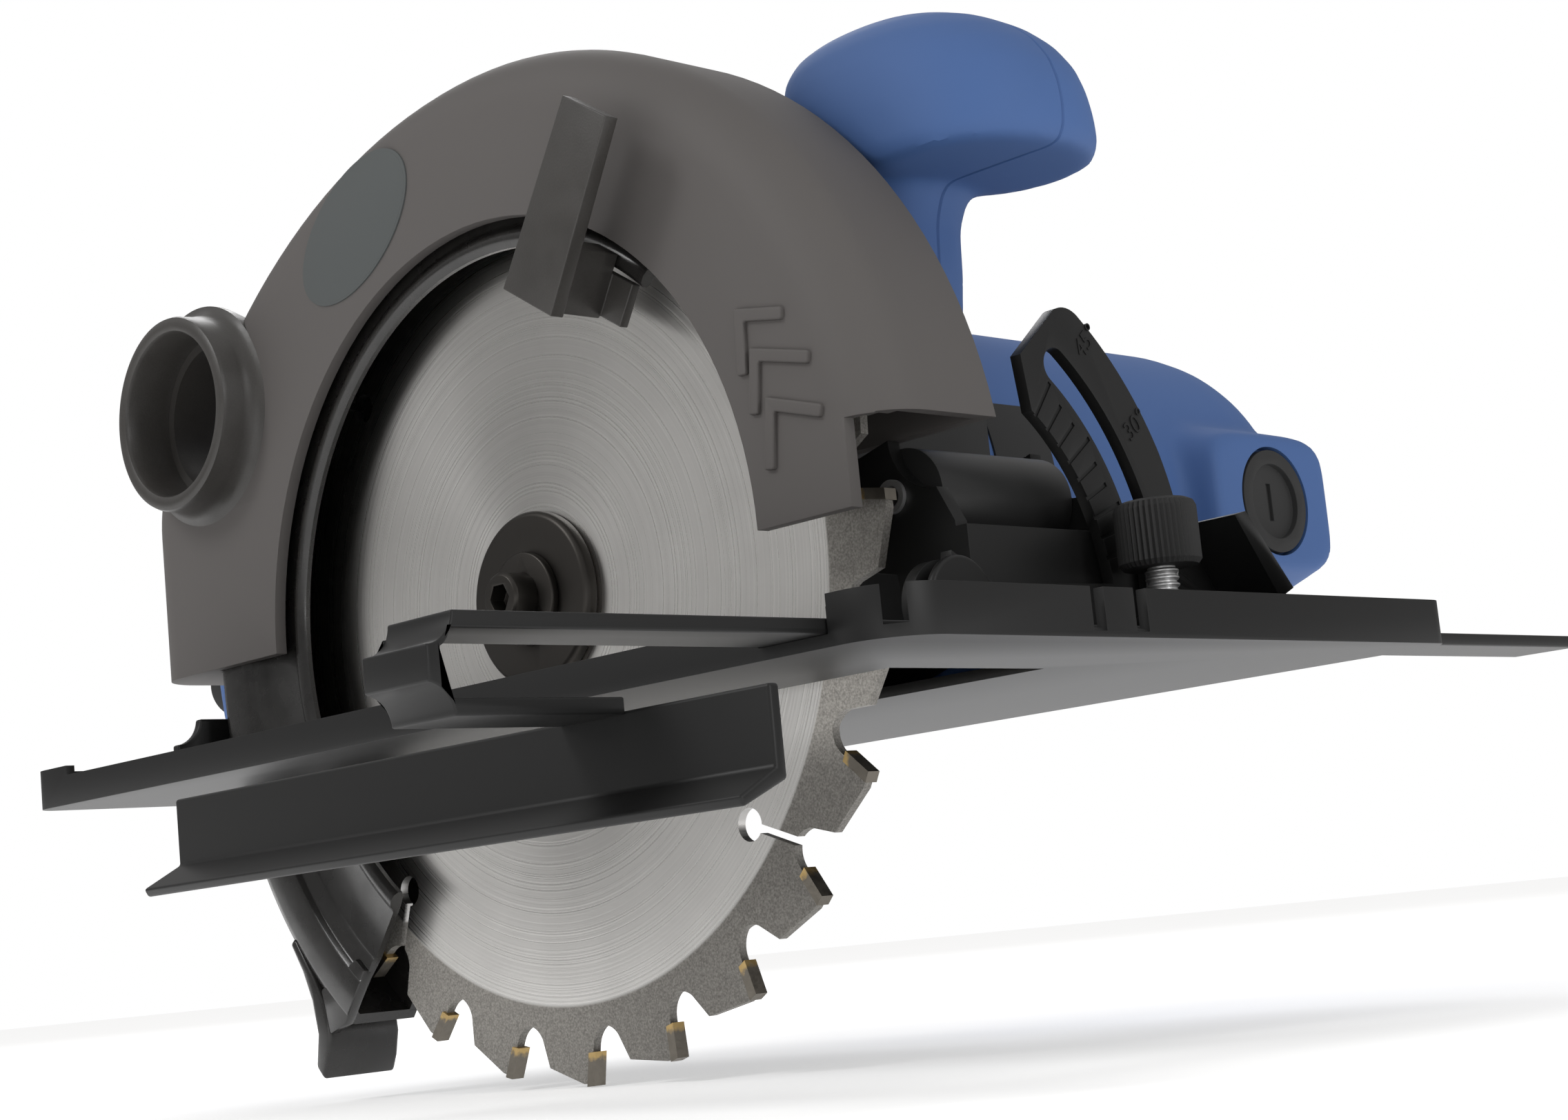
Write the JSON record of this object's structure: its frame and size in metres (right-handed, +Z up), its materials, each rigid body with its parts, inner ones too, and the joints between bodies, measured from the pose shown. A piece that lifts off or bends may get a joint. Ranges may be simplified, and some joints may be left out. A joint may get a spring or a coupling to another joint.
{
  "type": "hand-held circular saw",
  "caption": "Corded circular saw with fixed and swinging blade guards, tilting shoe with bevel quadrant, edge guide, side dust port, trigger handle and front grip",
  "frame": {"origin": "centre of the saw blade, on the arbor axis at the middle of the blade's thickness", "axes": "+X forward along the cut, +Y along the arbor from the blade towards the motor, +Z up, square to the shoe at zero bevel"},
  "size_m": [0.316, 0.293, 0.2011],
  "materials": {
    "guard_plastic": "fine spark texture, satin",
    "badge_grey": "smooth satin inlay",
    "black_casting": "black stove enamel on cast aluminium",
    "blue_plastic": "satin moulded nylon",
    "black_plastic": "moulded black nylon",
    "black_rubber": "soft rubber",
    "black_steel": "glossy black lacquer on pressed steel",
    "bright_steel": "turned steel",
    "black_oxide_steel": "black oxide",
    "blade_steel": "ground steel",
    "carbide": "sintered carbide",
    "core_steel": "laminated steel",
    "copper": "enamelled copper",
    "carbon": "pressed carbon"
  },
  "bodies": {
    "saw_body": {"upper_guard": "guard_plastic", "dust_port": "guard_plastic", "badge_plate": "badge_grey", "gear_housing": "black_casting", "spindle_bearing_front": "bright_steel", "spindle_bearing_rear": "bright_steel", "motor_bearing_front": "bright_steel", "motor_bearing_rear": "bright_steel", "guard_spring": "bright_steel", "motor_housing": "blue_plastic", "stator_core": "core_steel", "field_coil_upper": "copper", "field_coil_lower": "copper", "carbon_brush_front": "carbon", "carbon_brush_rear": "carbon", "brush_holder_front": "black_plastic", "brush_holder_rear": "black_plastic", "brush_cap_front": "black_plastic", "brush_cap_rear": "black_plastic", "handle_shell_right": "blue_plastic", "handle_shell_left": "blue_plastic", "power_switch": "black_plastic", "cable_bush": "black_rubber", "depth_bolt": "bright_steel", "trigger_pin": "bright_steel"},
    "armature": {"motor_shaft": "bright_steel", "drive_pinion": "bright_steel", "armature_core": "core_steel", "commutator": "copper", "cooling_fan": "black_plastic"},
    "blade_spindle": {"saw_blade": "blade_steel", "carbide_tips": "carbide", "outer_flange": "black_oxide_steel", "bolt_washer": "black_oxide_steel", "arbor_bolt": "black_oxide_steel", "inner_flange": "black_oxide_steel", "output_spindle": "bright_steel", "driven_gear": "bright_steel"},
    "swing_guard": {"lower_guard": "black_plastic", "retract_lever": "black_plastic"},
    "trigger_body": {"trigger": "black_plastic"},
    "lock_off_body": {"lock_off_button": "black_plastic"},
    "depth_lever_body": {"depth_lock_lever": "black_plastic"},
    "tilt_carriage": {"front_bracket": "black_steel", "hinge_pin": "bright_steel", "front_rivet": "black_steel", "rear_bracket": "black_steel", "rear_rivet": "black_steel", "bevel_bolt": "bright_steel"},
    "bevel_lever_body": {"bevel_lock_lever": "black_steel"},
    "shoe_body": {"base_shoe": "black_steel", "bevel_quadrant": "black_steel", "rear_ear": "black_steel", "guide_saddle": "black_steel"},
    "guide_body": {"guide_bar": "black_steel", "guide_fence": "black_steel"},
    "screw_body": {"guide_screw": "black_plastic"}
  },
  "joints": [
    {"name": "blade_spin", "type": "hinge", "parent": "saw_body", "child": "blade_spindle", "pos_m": [0, 0, 0], "axis": [0, 1, 0], "continuous": true},
    {"name": "armature_spin", "type": "hinge", "parent": "saw_body", "child": "armature", "pos_m": [0.02395, 0.1, 0.01247], "axis": [0, 1, 0], "continuous": true},
    {"name": "lower_guard_swing", "type": "hinge", "parent": "saw_body", "child": "swing_guard", "pos_m": [0, 0.008, 0], "axis": [0, -1, 0], "range_deg": [0, 109]},
    {"name": "trigger_pull", "type": "hinge", "parent": "saw_body", "child": "trigger_body", "pos_m": [-0.042, 0.04, 0.076], "axis": [0, 1, 0], "range_deg": [0, 6], "stiffness_Nm_per_rad": 0.6},
    {"name": "lock_off_press", "type": "slide", "parent": "saw_body", "child": "lock_off_body", "axis": [0, -1, 0], "range_m": [0, 0.004], "stiffness_N_per_m": 300},
    {"name": "depth_lever_turn", "type": "hinge", "parent": "saw_body", "child": "depth_lever_body", "pos_m": [-0.045, 0.061, 0.0045], "axis": [0, 1, 0], "range_deg": [0, 40]},
    {"name": "depth_hinge", "type": "hinge", "parent": "saw_body", "child": "tilt_carriage", "pos_m": [0.085, 0.03, 0.0045], "axis": [0, -1, 0], "range_deg": [0, 45]},
    {"name": "bevel_tilt", "type": "hinge", "parent": "tilt_carriage", "child": "shoe_body", "pos_m": [0, 0.001, -0.0173], "axis": [-1, 0, 0], "range_deg": [0, 45]},
    {"name": "bevel_lever_turn", "type": "hinge", "parent": "tilt_carriage", "child": "bevel_lever_body", "pos_m": [0.105, 0.05476, -0.01041], "axis": [1, 0, 0], "range_deg": [0, 35]},
    {"name": "guide_slide", "type": "slide", "parent": "shoe_body", "child": "guide_body", "axis": [0, 1, 0], "range_m": [-0.055, 0.034]},
    {"name": "guide_screw_turn", "type": "hinge", "parent": "shoe_body", "child": "screw_body", "pos_m": [0.113, 0.045, -0.01], "axis": [0, 0, 1], "range_deg": [-360, 0]}
  ],
  "couplings": [
    {"joint": "armature_spin", "follows": "blade_spin", "ratio": -4.4}
  ]
}
